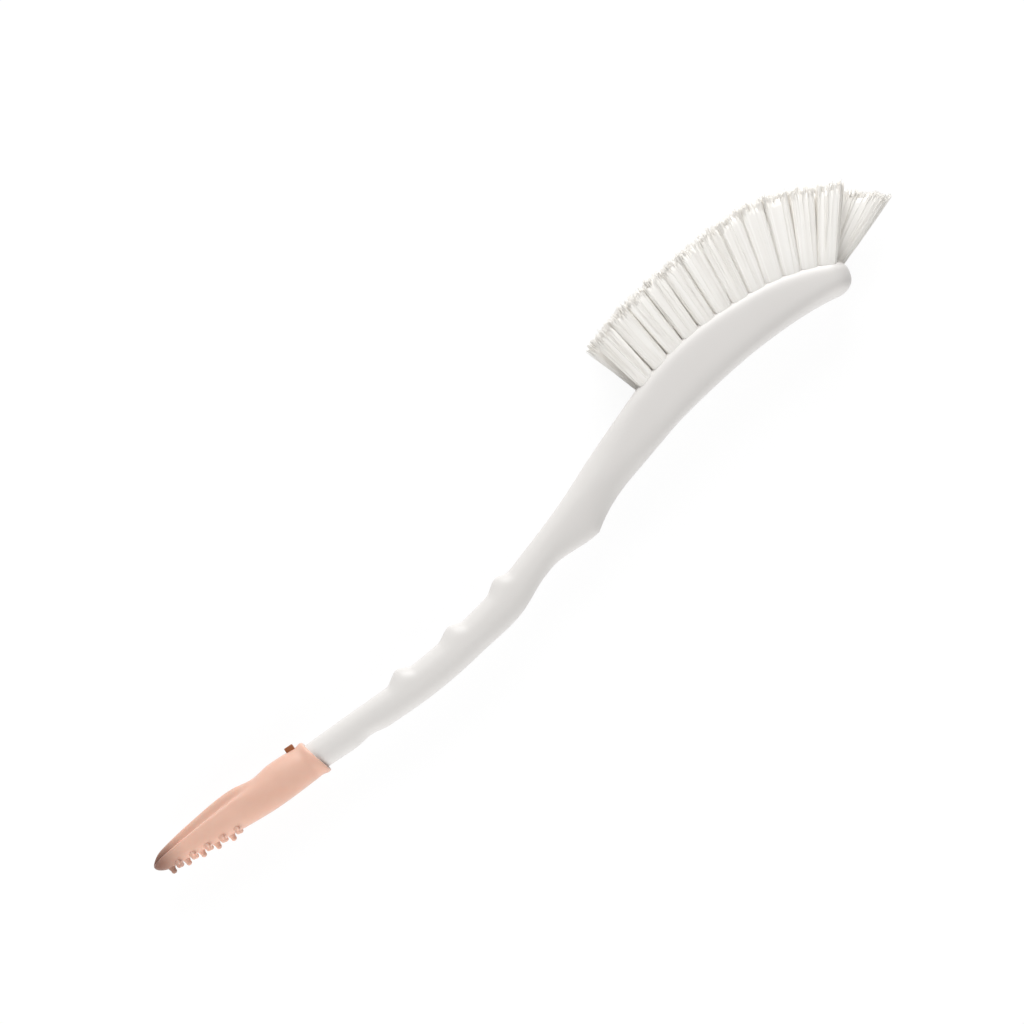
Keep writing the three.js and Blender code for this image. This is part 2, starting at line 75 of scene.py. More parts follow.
# Centre line of the handle, as in the solids, measured along it from the tip's mouth
SPIGOT_LENGTH = 17 * MM
REAR_GRIP_LENGTH = 30 * MM
GRIP_BEND_RADIUS = 163 * MM
NECK_ANGLE = math.radians(18)
NECK_LENGTH = 63 * MM
HEAD_RADIUS = 124 * MM
HEAD_LENGTH = 75 * MM
BEND_END = REAR_GRIP_LENGTH + GRIP_BEND_RADIUS * NECK_ANGLE
HEAD_START = BEND_END + NECK_LENGTH
HANDLE_END = HEAD_START + HEAD_LENGTH
NOSE_ROUNDING = 7 * MM
NOSE_POWER = 2.5
SPIGOT_CHAMFER = 0.8 * MM

# Finger crests on the grip's top, and how far the whole top is raised between and behind them
CREST_PLACES = [34.4 * MM, 55.3 * MM, 76.2 * MM]
CREST_RISE = 6.5 * MM
CREST_FALL = 4.5 * MM
RAISE_HEIGHT = 0.92 * MM
RAISE_BEFORE = 6 * MM
RAISE_BEHIND = 10 * MM
RAISE_FADE = 28 * MM

# Palm swell, thumb heel and small-finger notch on its underside
PALM_PLACE = 73 * MM
PALM_DEPTH = 1.15 * MM
PALM_RISE = 16 * MM
PALM_FALL = 13 * MM
HEEL_PLACE = BEND_END + 25.6 * MM
HEEL_DEPTH = 3.8 * MM
HEEL_RISE = 18 * MM
HEEL_FALL = 20 * MM
HEEL_POWER = 2.2
NOTCH_PLACE = 17 * MM
NOTCH_REACH = 6 * MM
NOTCH_DEPTH = 0.8 * MM

# Rise of the head's tufted face towards the nose, measured from where the head starts
BROW_HEIGHT = 1.2 * MM
BROW_START = 38 * MM
BROW_FULL = 57 * MM
BROW_FADE = 64 * MM

# Tufts and their holes: the middle row stands half a step nearer the nose, and ends in the tuft at the nose
ROWS = {"right": -1, "middle": 0, "left": 1}
ROW_SPACING = 5.2 * MM
ROW_SPLAY = math.radians(1)
ROW_SKEW = math.radians(3)
SKEW_POWER = 4
TUFT_COUNT = 12
NOSE_STEP = TUFT_COUNT - 0.5
FIRST_TUFT = 6.6 * MM
FIRST_PITCH = 6.2 * MM
LAST_PITCH = 5.1 * MM
FIRST_TUFT_LENGTH = 19.3 * MM
LAST_TUFT_LENGTH = 23.4 * MM
LENGTHEN_START = 0.2
LENGTHEN_END = 0.75
TUFT_LEAN = math.radians(3)
END_FAN = math.radians(23)
FAN_POWER = 3.1
NOSE_FAN = math.radians(18)
HOLE_RADIUS = 1.65 * MM
HOLE_DEPTH = 6 * MM
HOLE_SIDES = 24

# Packing of a tuft: its sunk foot, its squarish section, its packed core and the clumps of its filaments
FOOT_SUNK = 1.2 * MM
BULGED_AT = 0.01
TUFT_SQUARENESS = 4.2
TUFT_CUTS = (BULGED_AT, 0.35, 0.65)
CROWDING = 0.8
CORE_SIDES = 48
CORE_SHARE = 0.9
CORE_REACH = 0.945
CORE_TAPER = {0.88: 1, 0.97: 0.9, 1: 0.4}
CORE_CUTS = (*TUFT_CUTS, *list(CORE_TAPER)[:-1])
CORE_RAGGED_FROM = 0.9
CLUMP_COUNT = 9
CLUMP_LEAN = 0.22 * MM
CLUMP_SHADE = 0.65
FILAMENT_SIDES = 4
FILAMENT_CUTS = (*TUFT_CUTS, 0.97)
FILAMENT_END_FROM = 0.99
FILAMENT_END_SHARE = 0.7
STRAY_EVERY = 9
STRAY_TIMES = 2.5
DRAW_SEED = 7

# Soft tip, measured from its mouth
FIT_GAP = 0.3 * MM
BEAD_RADIUS = 6 * MM
BEAD_LENGTH = 1.3 * MM
GROOVE_PLACE = 2.6 * MM
GROOVE_END = 4.4 * MM
MOUTH_SLANT = math.tan(math.radians(14))
FRONT_START = 19.5 * MM
SLANT_END = 0.7 * FRONT_START
FRONT_LENGTH = 38.8 * MM
TIP_LENGTH = FRONT_START + FRONT_LENGTH
FRONT_ROUNDING = 4 * MM
FLUTE_ANGLE = math.radians(38)
FLUTE_SPREAD = math.radians(30)
NOSE_SHADE_LENGTH = 12 * MM
NUB_COUNT = 5
NUB_PITCH = 5 * MM
NUB_FROM_NOSE = 4.4 * MM
NUB_SIDE_ANGLE = math.radians(34)
PEG_MIDDLE = 5.45 * MM
PEG_SEAT = 5.766 * MM
PEG_SIZE = Vector((2.7 * MM, 1.4 * MM, 3 * MM))
PEG_SUNK = 0.5 * MM
PEG_SHADE = 0.7

# Shape of one nub, in shares of its own height and radius
NUB_CUTS = (0.1, 0.35)
NUB_FLARED_TO = 0.2
NUB_FLARE = 1.22
NUB_FOOT_FLARE = 1.5
NUB_END_FROM = 0.9
NUB_ROUNDING = 0.85

# Fineness of the meshes
HANDLE_POINTS = 64
HANDLE_STEP = 1.6 * MM
CREST_STEP = 0.5 * MM
TIP_POINTS = 96
TIP_STEP = 0.9 * MM
BORE_STEP = 4 * TIP_STEP
NOSE_RINGS = 12
RIM_RINGS = 9
NUB_SIDES = 16
NUB_ROUND_STEPS = 4
PEG_ROUND_STEPS = 3

# Angles past which an edge is drawn sharp
HANDLE_SHARP = math.radians(40)
TUFT_SHARP = math.radians(100)
TIP_SHARP = math.radians(50)
PEG_SHARP = math.radians(35)

# Studio: the picture's middle from the tip's mouth, the floor, the lights and their bounces among filaments
PICTURE_MIDDLE = Vector((89.3 * MM, 26.95 * MM, 0))
FLOOR_SIZE = 20
FLOOR_GAP = 0.2 * MM
PAPER_GLOW = 0.92
LIGHT_DISTANCE = 1.2
LIGHT_SIZE = 0.9
LIGHT_LIFT = 0.42
KEY_ASIDE = 0.15
DIFFUSE_BOUNCES = 12


def clamp(value, low, high):
    """The value, held between two limits."""
    return max(low, min(high, value))


def linear(hex_colour):
    """An sRGB hex colour as linear red, green and blue."""
    channels = [int(hex_colour[i:i + 2], 16) / 255 for i in (1, 3, 5)]
    return [c / 12.92 if c <= 0.04045 else ((c + 0.055) / 1.055) ** 2.4 for c in channels]


def curve_through(rows):
    """A smooth curve through rows of a place and its values, which gives all the values at any place."""
    table = np.array(rows)
    places, values = table[:, 0], table[:, 1:]
    secants = np.diff(values, axis=0) / np.diff(places)[:, None]
    slopes = (np.vstack((secants[:1], secants)) + np.vstack((secants, secants[-1:]))) / 2

    def values_at(place):
        place = clamp(place, places[0], places[-1])
        i = min(int(np.searchsorted(places, place, side="right")), len(places) - 1) - 1
        step = places[i + 1] - places[i]
        p = (place - places[i]) / step
        leaving = (1 + 2 * p) * values[i] + p * step * slopes[i]
        arriving = (3 - 2 * p) * values[i + 1] - (1 - p) * step * slopes[i + 1]
        return leaving * (1 - p) ** 2 + arriving * p ** 2

    return values_at


# Thickness and width in millimetres, and squareness, of the handle at places along its centre line
HEAD_WIDTH = 16.7
HEAD_SQUARENESS = 4.2
HANDLE_SECTIONS = curve_through([
    (-SPIGOT_LENGTH, 8, 8, 2),
    (0, 9.1, 9.1, 2),
    (REAR_GRIP_LENGTH, 9.9, 12, 2.3),
    ((REAR_GRIP_LENGTH + BEND_END) / 2, 9.9, 12, 2.3),
    (BEND_END + 0.2 * NECK_LENGTH, 9, 10.6, 2.3),
    (BEND_END + 0.68 * NECK_LENGTH, 13.8, 13.65, 2.3),
    (HEAD_START, 15.7, HEAD_WIDTH, HEAD_SQUARENESS),
    (HEAD_START + 0.27 * HEAD_LENGTH, 17.4, HEAD_WIDTH, HEAD_SQUARENESS),
    (HEAD_START + 0.54 * HEAD_LENGTH, 15.7, HEAD_WIDTH, HEAD_SQUARENESS),
    (HANDLE_END - NOSE_ROUNDING, 10.6, HEAD_WIDTH, 2.7),
])

# Fin height, belly depth and side reach of the tip in millimetres, and how far its flutes are sunk
TIP_SECTIONS = curve_through([
    (0, BEAD_RADIUS / MM, BEAD_RADIUS / MM, BEAD_RADIUS / MM, 0),
    (BEAD_LENGTH, BEAD_RADIUS / MM, BEAD_RADIUS / MM, BEAD_RADIUS / MM, 0),
    (GROOVE_PLACE, 5.62, 5.62, 5.62, 0),
    (GROOVE_END, 5.76, 5.76, 5.76, 0),
    (SLANT_END, 6.05, 6.2, 5.9, 0),
    (FRONT_START, 5.3, 6.2, 5.9, 0.05),
    (FRONT_START + 0.2 * FRONT_LENGTH, 6.3, 5.7, 5.3, 0.5),
    (FRONT_START + 0.6 * FRONT_LENGTH, 5, 4.1, 4.2, 0.75),
    (TIP_LENGTH - 2 * FRONT_ROUNDING, 3.85, 3.3, 3.3, 1),
    (TIP_LENGTH - FRONT_ROUNDING, 3, 2.9, 2.9, 1.3),
    (TIP_LENGTH - 0.3 * FRONT_ROUNDING, 2.1, 2.5, 2.5, 1.2),
    (TIP_LENGTH, 1.6, 2.4, 2.4, 0),
])


def rounded_end(place, end, rounding, power):
    """How much of a section is left at a place inside a rounded end."""
    into = max(0, (place - end) / rounding + 1)
    return max(0, 1 - into ** power) ** (1 / power)


def mouth_slant(distance):
    """How much the tip's sections still slant with its mouth at a distance from it."""
    return MOUTH_SLANT * max(0, 1 - distance / SLANT_END)


def tip_point(distance, angle, flute_depth):
    """A point of the tip's skin, at a distance from its slanted mouth and an angle round it from the fin."""
    fin, belly, reach, fluted = TIP_SECTIONS(distance)
    off = clamp((abs(angle) - FLUTE_ANGLE) / FLUTE_SPREAD, -1, 1)
    flute = flute_depth * fluted * math.cos(off * math.pi / 2) ** 2
    size = MM * rounded_end(distance, TIP_LENGTH, FRONT_ROUNDING, 2) * (1 - flute)
    rise = math.cos(angle)
    height = rise * (fin if rise > 0 else belly)
    along = -distance - mouth_slant(distance) * size * height
    return MOUTH + Vector((along, size * height, -size * reach * math.sin(angle)))


# The middle of the tip's mouth, found from the handle's end and the peg's top
HANDLE_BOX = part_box("handle")
MOUTH = Vector((
    HANDLE_BOX[0].x + SPIGOT_LENGTH,
    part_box("teat_tip")[1].y - PEG_SEAT - PEG_SIZE.y,
    (HANDLE_BOX[0].z + HANDLE_BOX[1].z) / 2,
))


def centre_line(distance):
    """Where the handle's centre line is, the angle it runs at and the direction square to it."""
    bend = clamp((distance - REAR_GRIP_LENGTH) / GRIP_BEND_RADIUS, 0, NECK_ANGLE)
    neck = clamp(distance - BEND_END, 0, NECK_LENGTH)
    angle = bend - max(0, distance - HEAD_START) / HEAD_RADIUS
    head = HEAD_RADIUS if distance > HEAD_START else 0
    along = (min(distance, REAR_GRIP_LENGTH) + GRIP_BEND_RADIUS * math.sin(bend)
             + neck * math.cos(NECK_ANGLE) + head * (math.sin(NECK_ANGLE) - math.sin(angle)))
    rise = (GRIP_BEND_RADIUS * (1 - math.cos(bend))
            + neck * math.sin(NECK_ANGLE) + head * (math.cos(angle) - math.cos(NECK_ANGLE)))
    return MOUTH + Vector((along, rise, 0)), angle, Vector((-math.sin(angle), math.cos(angle), 0))


def smooth_step(value, low, high):
    """0 up to a low value, 1 from a high one, and a soft curve between them."""
    share = clamp((value - low) / (high - low), 0, 1)
    return share * share * (3 - 2 * share)


def swelling(distance, start, full, fade, end):
    """A soft swelling of height 1 that rises up to a place and falls away behind another."""
    return smooth_step(distance, start, full) * (1 - smooth_step(distance, fade, end))


def handle_half(distance, crest_height):
    """Half sizes of the handle's section above, below and beside its centre line, and its squareness."""
    thickness, width, squareness = HANDLE_SECTIONS(distance)
    crest = max(swelling(distance, top - CREST_RISE, top, top, top + CREST_FALL) for top in CREST_PLACES)
    behind = CREST_PLACES[-1] + RAISE_BEHIND
    raised = swelling(distance, CREST_PLACES[0] - RAISE_BEFORE, CREST_PLACES[0], behind, behind + RAISE_FADE)
    palm = swelling(distance, PALM_PLACE - PALM_RISE, PALM_PLACE, PALM_PLACE, PALM_PLACE + PALM_FALL)
    heel_left = 1 - clamp((distance - HEEL_PLACE) / HEEL_FALL, 0, 1)
    heel = smooth_step(distance, HEEL_PLACE - HEEL_RISE, HEEL_PLACE) * heel_left ** HEEL_POWER
    notch = swelling(distance, NOTCH_PLACE - NOTCH_REACH, NOTCH_PLACE, NOTCH_PLACE, NOTCH_PLACE + NOTCH_REACH)
    brow = swelling(distance - HEAD_START, BROW_START, BROW_FULL, BROW_FADE, HEAD_LENGTH)
    above = crest_height * crest + RAISE_HEIGHT * raised + BROW_HEIGHT * brow
    below = PALM_DEPTH * palm + HEEL_DEPTH * heel - NOTCH_DEPTH * notch
    half = MM * thickness / 2
    left = rounded_end(distance, HANDLE_END, NOSE_ROUNDING, NOSE_POWER)
    return (half + above) * left, (half + below) * left, MM * min(width, HEAD_WIDTH) / 2 * left, squareness


def handle_ring(distance, crest_height, grow=0):
    """The handle's outline at a distance, grown all round."""
    at, _, upward = centre_line(distance)
    up, down, side, squareness = handle_half(distance, crest_height)
    ring = []
    for k in range(HANDLE_POINTS):
        angle = 2 * math.pi * k / HANDLE_POINTS
        rise = math.copysign(abs(math.cos(angle)) ** (2 / squareness), math.cos(angle))
        reach = math.copysign(abs(math.sin(angle)) ** (2 / squareness), math.sin(angle))
        height = rise * ((up if rise > 0 else down) + grow)
        ring.append(at + upward * height + Vector((0, 0, reach * (side + grow))))
    return ring


def face_point(distance, across):
    """A point of the head's tufted face, at a distance along it and a place across it."""
    at, _, upward = centre_line(distance)
    up, _, side, squareness = handle_half(distance, 0)
    share = min(1, abs(across) / side) ** squareness
    return at + upward * up * (1 - share) ** (1 / squareness) + Vector((0, 0, across))


def tuft_end(tuft):
    """Where the middle of a tuft's end stands."""
    matrix, length, _ = tuft
    return matrix @ Vector((0, length, 0))


def trim_slope(tufts, i):
    """The slope, in a tuft's frame, of the line along which its end and its neighbours' are trimmed."""
    run = tuft_end(tufts[min(i + 1, TUFT_COUNT - 1)]) - tuft_end(tufts[max(i - 1, 0)])
    line = tufts[i][0].to_3x3().inverted() @ run
    return line.y / line.x


def row_tufts(row):
    """The tufts of a row: frames in which Y runs out along the tuft and X along the row, lengths, shares of
    the way from the first tuft to the one at the nose, and slopes of their ends."""
    tufts = []
    for i in range(TUFT_COUNT):
        step = i + 0.5 if row == 0 else i
        share = step / NOSE_STEP
        pitch = FIRST_PITCH - (FIRST_PITCH - LAST_PITCH) * share / 2
        distance = HEAD_START + FIRST_TUFT + step * pitch
        lean = TUFT_LEAN + END_FAN * share ** FAN_POWER + row * ROW_SKEW * (1 - share) ** SKEW_POWER
        if step == NOSE_STEP:
            lean += NOSE_FAN
        angle = centre_line(distance)[1] - lean
        turn = Matrix.Rotation(angle, 4, "Z") @ Matrix.Rotation(row * ROW_SPLAY, 4, "X")
        place = Matrix.Translation(face_point(distance, row * ROW_SPACING))
        lengthened = smooth_step(share, LENGTHEN_START, LENGTHEN_END)
        length = FIRST_TUFT_LENGTH + lengthened * (LAST_TUFT_LENGTH - FIRST_TUFT_LENGTH)
        tufts.append((place @ turn, length, share))
    return [(*tuft, trim_slope(tufts, i)) for i, tuft in enumerate(tufts)]


class HandleSettings(bpy.types.PropertyGroup):
    """Shape and finish of the moulded handle."""
    crest_height: FloatProperty(
        name="Crest height", description="How far the finger crests stand above the grip",
        default=1.75 * MM, unit="LENGTH")
    colour: FloatVectorProperty(
        name="Colour", description="White of the moulded plastic",
        default=linear("#DEDBD8"), size=3, subtype="COLOR")
    flow_colour: FloatVectorProperty(
        name="Flow colour", description="Slightly greyer white where the melt cooled first",
        default=linear("#D8D5D2"), size=3, subtype="COLOR")


class TuftSettings(bpy.types.PropertyGroup):
    """Filaments of the tufts."""
    filaments: IntProperty(
        name="Filaments", description="Filaments that stand in one hole", default=320)
    diameter: FloatProperty(
        name="Diameter", description="Thickness of one filament", default=0.2 * MM, unit="LENGTH")
    bulge: FloatProperty(
        name="Bulge", description="Half width of a tuft where it leaves the head, along its row",
        default=3.2 * MM, unit="LENGTH")
    nose_bulge: FloatProperty(
        name="Nose bulge", description="The same half width of the tuft at the nose",
        default=3 * MM, unit="LENGTH")
    spread_along: FloatProperty(
        name="Spread along", description="Half width of a tuft's end along its row",
        default=4.1 * MM, unit="LENGTH")
    nose_spread: FloatProperty(
        name="Nose spread", description="The same half width of the tuft at the nose, which fans out",
        default=8 * MM, unit="LENGTH")
    spread_across: FloatProperty(
        name="Spread across", description="Half width of a tuft's end across its row",
        default=2.3 * MM, unit="LENGTH")
    waviness: FloatProperty(
        name="Waviness", description="How far a filament strays from its straight line",
        default=0.12 * MM, unit="LENGTH")
    raggedness: FloatProperty(
        name="Raggedness", description="How unevenly the ends are trimmed", default=0.35 * MM, unit="LENGTH")
    colour: FloatVectorProperty(
        name="Colour", description="Off-white of the lightest filaments",
        default=linear("#F9F7F3"), size=3, subtype="COLOR")
    shaded_colour: FloatVectorProperty(
        name="Shaded colour", description="Off-white of the darkest filaments",
        default=linear("#EFECE7"), size=3, subtype="COLOR")


class TipSettings(bpy.types.PropertyGroup):
    """Shape and finish of the soft tip."""
    flute_depth: FloatProperty(
        name="Flute depth", description="How far the flutes cut in, as a share of the section",
        default=0.5, subtype="FACTOR", min=0, max=0.6)
    nub_radius: FloatProperty(
        name="Nub radius", description="Radius of one cleaning nub", default=0.85 * MM, unit="LENGTH")
    nub_height: FloatProperty(
        name="Nub height", description="How far a nub stands out", default=1.95 * MM, unit="LENGTH")
    peg_bevel: FloatProperty(
        name="Peg bevel", description="Rounding of the peg's edges", default=0.2 * MM, unit="LENGTH")
    colour: FloatVectorProperty(
        name="Colour", description="Peach of the elastomer",
        default=linear("#E5BCA8"), size=3, subtype="COLOR")
    deep_colour: FloatVectorProperty(
        name="Deep colour", description="Deeper peach of its faint clouds",
        default=linear("#DBAC97"), size=3, subtype="COLOR")
    # Painted shade: a brown that the peach darkens into at the very nose, standing in for the shade there
    nose_shade_colour: FloatVectorProperty(
        name="Nose colour", description="Brown into which the peach deepens at the very nose",
        default=linear("#7C5343"), size=3, subtype="COLOR")
    # Painted shade: the peg is drawn in this brown, far darker than the sleeve's peach, to stand in for its
    # shade
    peg_shade_colour: FloatVectorProperty(
        name="Peg colour", description="Brown of the peg on the sleeve",
        default=linear("#A5623A"), size=3, subtype="COLOR")


class StageSettings(bpy.types.PropertyGroup):
    """Camera and lights of the studio."""
    camera_distance: FloatProperty(
        name="Camera distance", description="From the lens to the brush", default=0.8, unit="LENGTH")
    view_width: FloatProperty(
        name="View width", description="Width of the picture at the brush", default=0.3072, unit="LENGTH")
    roll: FloatProperty(
        name="Roll", description="Slope of the spigot's axis in the picture",
        default=math.radians(34.6), subtype="ANGLE")
    tilt: FloatProperty(
        name="Tilt", description="How far the camera stands towards the picture's lower edge",
        default=math.radians(4.5), subtype="ANGLE")
    key_power: FloatProperty(
        name="Key power", description="Power of the large light at the picture's top",
        default=16, unit="POWER")
    fill_power: FloatProperty(
        name="Fill power", description="Power of the light at the picture's bottom",
        default=11, unit="POWER")
    ambient: FloatProperty(
        name="Ambient", description="Strength of the white room round the brush", default=0.36, min=0)


def add_node(tree, kind, inputs=None, **settings):
    """Adds a node of a kind, with its settings, and sets each input or links it to an output."""
    node = tree.nodes.new(kind)
    for name, value in settings.items():
        setattr(node, name, value)
    for key, value in (inputs or {}).items():
        if isinstance(value, bpy.types.NodeSocket):
            tree.links.new(value, node.inputs[key])
        else:
            node.inputs[key].default_value = value
    return node


def new_material(name):
    """An empty material with an output, and its node tree."""
    material = bpy.data.materials.new(name)
    material.use_nodes = True
    material.node_tree.nodes.clear()
    return material, material.node_tree


def moulded_polypropylene(settings):
    """Injection-moulded polypropylene: satin white with faint flow clouds and a fine spark-eroded skin."""
    material, tree = new_material("moulded_polypropylene")
    place = add_node(tree, "ShaderNodeTexCoord").outputs["Object"]
    flow = add_node(tree, "ShaderNodeTexNoise", {"Vector": place, "Scale": 1 / (30 * MM), "Detail": 2})
    colour = add_node(tree, "ShaderNodeMix", {
        0: flow.outputs[0], 6: (*settings.colour, 1), 7: (*settings.flow_colour, 1)}, data_type="RGBA")
    # The real skin's grain is about 0.05 mm; it is drawn at 0.6 mm so that it shows
    grain = add_node(tree, "ShaderNodeTexNoise", {"Vector": place, "Scale": 1 / (0.6 * MM), "Detail": 3})
    gloss = add_node(tree, "ShaderNodeMapRange", {"Value": grain.outputs[0], "To Min": 0.34, "To Max": 0.46})
    bump = add_node(tree, "ShaderNodeBump", {
        "Height": grain.outputs[0], "Strength": 0.12, "Distance": 0.02 * MM})
    shader = add_node(tree, "ShaderNodeBsdfPrincipled", {
        "Base Color": colour.outputs[2], "Roughness": gloss.outputs[0], "IOR": 1.49,
        "Normal": bump.outputs[0]})
    add_node(tree, "ShaderNodeOutputMaterial", {"Surface": shader.outputs[0]})
    return material


def extruded_nylon(settings):
    """Extruded nylon filament: smooth and near white, each strand a slightly different white."""
    material, tree = new_material("extruded_nylon_filament")
    strand = add_node(tree, "ShaderNodeAttribute", attribute_name="strand")
    colour = add_node(tree, "ShaderNodeMix", {
        0: strand.outputs["Fac"], 6: (*settings.shaded_colour, 1), 7: (*settings.colour, 1)},
        data_type="RGBA")
    gloss = add_node(tree, "ShaderNodeMapRange", {
        "Value": strand.outputs["Fac"], "To Min": 0.5, "To Max": 0.38})
    shader = add_node(tree, "ShaderNodeBsdfPrincipled", {
        "Base Color": colour.outputs[2], "Roughness": gloss.outputs[0], "IOR": 1.53})
    add_node(tree, "ShaderNodeOutputMaterial", {"Surface": shader.outputs[0]})
    return material


def moulded_elastomer(settings):
    """Moulded thermoplastic elastomer: soft peach that light sinks into, faintly clouded, dull skinned, with
    painted shade towards the nose.
    """
    material, tree = new_material("moulded_elastomer")
    place = add_node(tree, "ShaderNodeTexCoord").outputs["Object"]
    cloud = add_node(tree, "ShaderNodeTexNoise", {"Vector": place, "Scale": 1 / (9 * MM), "Detail": 3})
    colour = add_node(tree, "ShaderNodeMix", {
        0: cloud.outputs[0], 6: (*settings.colour, 1), 7: (*settings.deep_colour, 1)}, data_type="RGBA")
    # Painted shade: the peach darkens to brown over the last few millimetres before the nose, standing in for
    # the shade that falls there
    along = add_node(tree, "ShaderNodeSeparateXYZ", {0: place})
    nose = MOUTH.x - TIP_LENGTH
    near_nose = add_node(tree, "ShaderNodeMapRange", {
        "Value": along.outputs[0], "From Min": nose + NOSE_SHADE_LENGTH, "From Max": nose},
        interpolation_type="SMOOTHSTEP")
    shaded = add_node(tree, "ShaderNodeMix", {
        0: near_nose.outputs[0], 6: colour.outputs[2], 7: (*settings.nose_shade_colour, 1)}, data_type="RGBA")
    # The real skin's grain is about 0.05 mm; it is drawn at 0.4 mm so that it shows
    grain = add_node(tree, "ShaderNodeTexNoise", {"Vector": place, "Scale": 1 / (0.4 * MM), "Detail": 2})
    gloss = add_node(tree, "ShaderNodeMapRange", {"Value": grain.outputs[0], "To Min": 0.38, "To Max": 0.48})
    bump = add_node(tree, "ShaderNodeBump", {
        "Height": grain.outputs[0], "Strength": 0.15, "Distance": 0.02 * MM})
    shader = add_node(tree, "ShaderNodeBsdfPrincipled", {
        "Base Color": shaded.outputs[2], "Roughness": gloss.outputs[0], "IOR": 1.45,
        "Subsurface Weight": 0.25, "Subsurface Radius": (1, 0.45, 0.3), "Subsurface Scale": 1.2 * MM,
        "Specular IOR Level": 0.8, "Sheen Weight": 0.5, "Sheen Roughness": 0.4, "Normal": bump.outputs[0]})
    add_node(tree, "ShaderNodeOutputMaterial", {"Surface": shader.outputs[0]})
    return material


def shaded_peg_elastomer(settings):
    """The tip's elastomer drawn in brown for the small peg: painted shade that darkens the peg well below the
    sleeve's peach, its colour varying a little over its faces.
    """
    material, tree = new_material("shaded_peg_elastomer")
    place = add_node(tree, "ShaderNodeTexCoord").outputs["Object"]
    cloud = add_node(tree, "ShaderNodeTexNoise", {"Vector": place, "Scale": 1 / (1.5 * MM), "Detail": 2})
    darker = [PEG_SHADE * channel for channel in settings.peg_shade_colour]
    colour = add_node(tree, "ShaderNodeMix", {
        0: cloud.outputs[0], 6: (*settings.peg_shade_colour, 1), 7: (*darker, 1)}, data_type="RGBA")
    shader = add_node(tree, "ShaderNodeBsdfPrincipled", {
        "Base Color": colour.outputs[2], "Roughness": 0.5, "IOR": 1.45})
    add_node(tree, "ShaderNodeOutputMaterial", {"Surface": shader.outputs[0]})
    return material


def cut_brass_strip():
    """Rolled and cut brass strip: yellow metal with fine rolling lines along it."""
    material, tree = new_material("cut_brass_strip")
    place = add_node(tree, "ShaderNodeTexCoord").outputs["Object"]
    # Rolling lines 0.2 mm apart, stretched along the strip
    stretched = add_node(tree, "ShaderNodeMapping", {
        "Vector": place, "Scale": (1 / (4 * MM), 1 / (0.2 * MM), 1 / (0.2 * MM))})
    lines = add_node(tree, "ShaderNodeTexNoise", {"Vector": stretched.outputs[0], "Scale": 1, "Detail": 2})
    colour = add_node(tree, "ShaderNodeMix", {
        0: lines.outputs[0], 6: (*linear("#D0B066"), 1), 7: (*linear("#B8964E"), 1)}, data_type="RGBA")
    gloss = add_node(tree, "ShaderNodeMapRange", {"Value": lines.outputs[0], "To Min": 0.25, "To Max": 0.45})
    shader = add_node(tree, "ShaderNodeBsdfPrincipled", {
        "Base Color": colour.outputs[2], "Roughness": gloss.outputs[0], "Metallic": 1})
    add_node(tree, "ShaderNodeOutputMaterial", {"Surface": shader.outputs[0]})
    return material


def seen_directly(tree):
    """1 for what the camera, a mirror or glass sees, and 0 for light that falls on the brush."""
    path = add_node(tree, "ShaderNodeLightPath")
    mirrored = add_node(tree, "ShaderNodeMath", {
        0: path.outputs["Is Camera Ray"], 1: path.outputs["Is Glossy Ray"]}, operation="MAXIMUM")
    seen = add_node(tree, "ShaderNodeMath", {
        0: mirrored.outputs[0], 1: path.outputs["Is Transmission Ray"]}, operation="MAXIMUM")
    return seen.outputs[0]


def white_paper():
    """Matt white studio paper: it looks white in the picture and still shows a faint shadow."""
    material, tree = new_material("white_studio_paper")
    paper = add_node(tree, "ShaderNodeBsdfDiffuse", {"Color": (*linear("#EFEFEF"), 1)})
    glow = add_node(tree, "ShaderNodeEmission", {"Color": (1, 1, 1, 1), "Strength": PAPER_GLOW})
    shade = add_node(tree, "ShaderNodeBsdfDiffuse", {"Color": (*linear("#595959"), 1)})
    lit = add_node(tree, "ShaderNodeAddShader", {0: glow.outputs[0], 1: shade.outputs[0]})
    mixed = add_node(tree, "ShaderNodeMixShader", {
        0: seen_directly(tree), 1: paper.outputs[0], 2: lit.outputs[0]})
    add_node(tree, "ShaderNodeOutputMaterial", {"Surface": mixed.outputs[0]})
    return material


def deselect():
    """Leaves no object selected."""
    bpy.ops.object.select_all(action="DESELECT")


def named(name):
    """Names the active object and its mesh."""
    piece = bpy.context.object
    piece.name = name
    piece.data.name = name
    return piece


def place_ring(skin, ring):
    """Sets the selected points on a ring, each on the point that it is numbered for."""
    shape = bmesh.from_edit_mesh(skin.data)
    number = shape.verts.layers.int["number"]
    for vertex in shape.verts:
        if vertex.select:
            vertex.co = ring[vertex[number]]
    bmesh.update_edit_mesh(skin.data)


def swept_skin(name, rings):
    """A closed skin: a disc is laid on the first ring and extruded from each ring to the next."""
    deselect()
    bpy.ops.mesh.primitive_circle_add(vertices=len(rings[0]), fill_type="NGON", enter_editmode=True)
    skin = named(name)
    shape = bmesh.from_edit_mesh(skin.data)
    number = shape.verts.layers.int.new("number")
    for k, vertex in enumerate(shape.verts):
        vertex[number] = k
    place_ring(skin, rings[0])
    for ring in rings[1:]:
        bpy.ops.mesh.extrude_region_move()
        place_ring(skin, ring)
    bpy.ops.mesh.select_all(action="SELECT")
    bpy.ops.mesh.normals_make_consistent(inside=False)
    bpy.ops.object.mode_set(mode="OBJECT")
    skin.data.attributes.remove(skin.data.attributes["number"])
    return skin


def combine(piece, tool, operation):
    """Cuts a tool's shape out of a piece or joins it on, and removes the tool."""
    modifier = piece.modifiers.new("Combine", "BOOLEAN")
    modifier.object = tool
    modifier.operation = operation
    bpy.context.view_layer.objects.active = piece
    bpy.ops.object.modifier_apply(modifier=modifier.name)
    bpy.data.objects.remove(tool)


